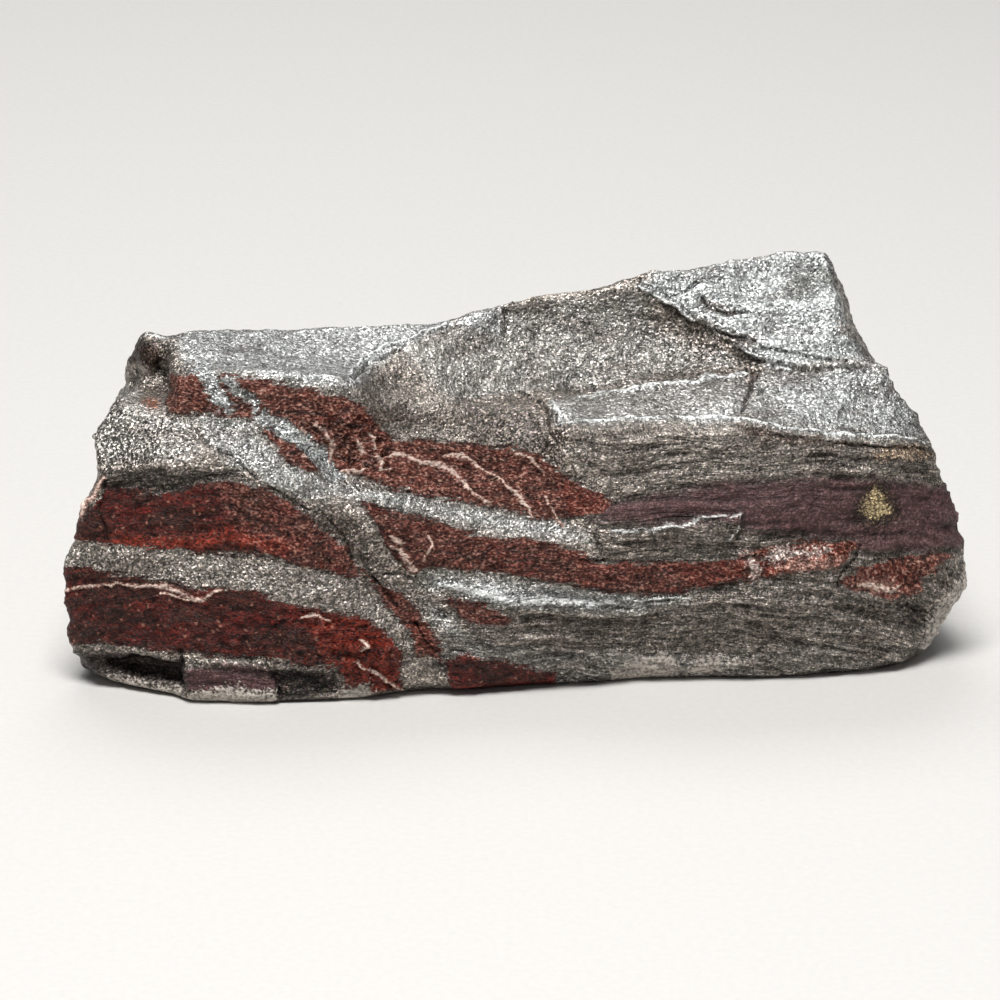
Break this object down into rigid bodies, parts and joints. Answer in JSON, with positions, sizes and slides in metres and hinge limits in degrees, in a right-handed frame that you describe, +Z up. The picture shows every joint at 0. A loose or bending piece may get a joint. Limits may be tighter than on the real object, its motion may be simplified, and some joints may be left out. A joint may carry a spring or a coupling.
{
  "type": "banded specular hematite specimen",
  "caption": "Rough broken block of banded rock: silvery specular hematite layered with dark red jasper, with a flat base that it rests on.",
  "frame": {"origin": "middle of the bounding box's base, on the surface that the rock rests on", "axes": "+X along the rock's length, to the right in the picture; +Y to the back, away from the picture's camera; +Z up"},
  "size_m": [0.15, 0.0564, 0.0663],
  "materials": {
    "banded_hematite": "broken, glittering metallic grey with waxy dark red bands"
  },
  "bodies": {
    "root": {"banded_rock": "banded_hematite"}
  },
  "joints": []
}
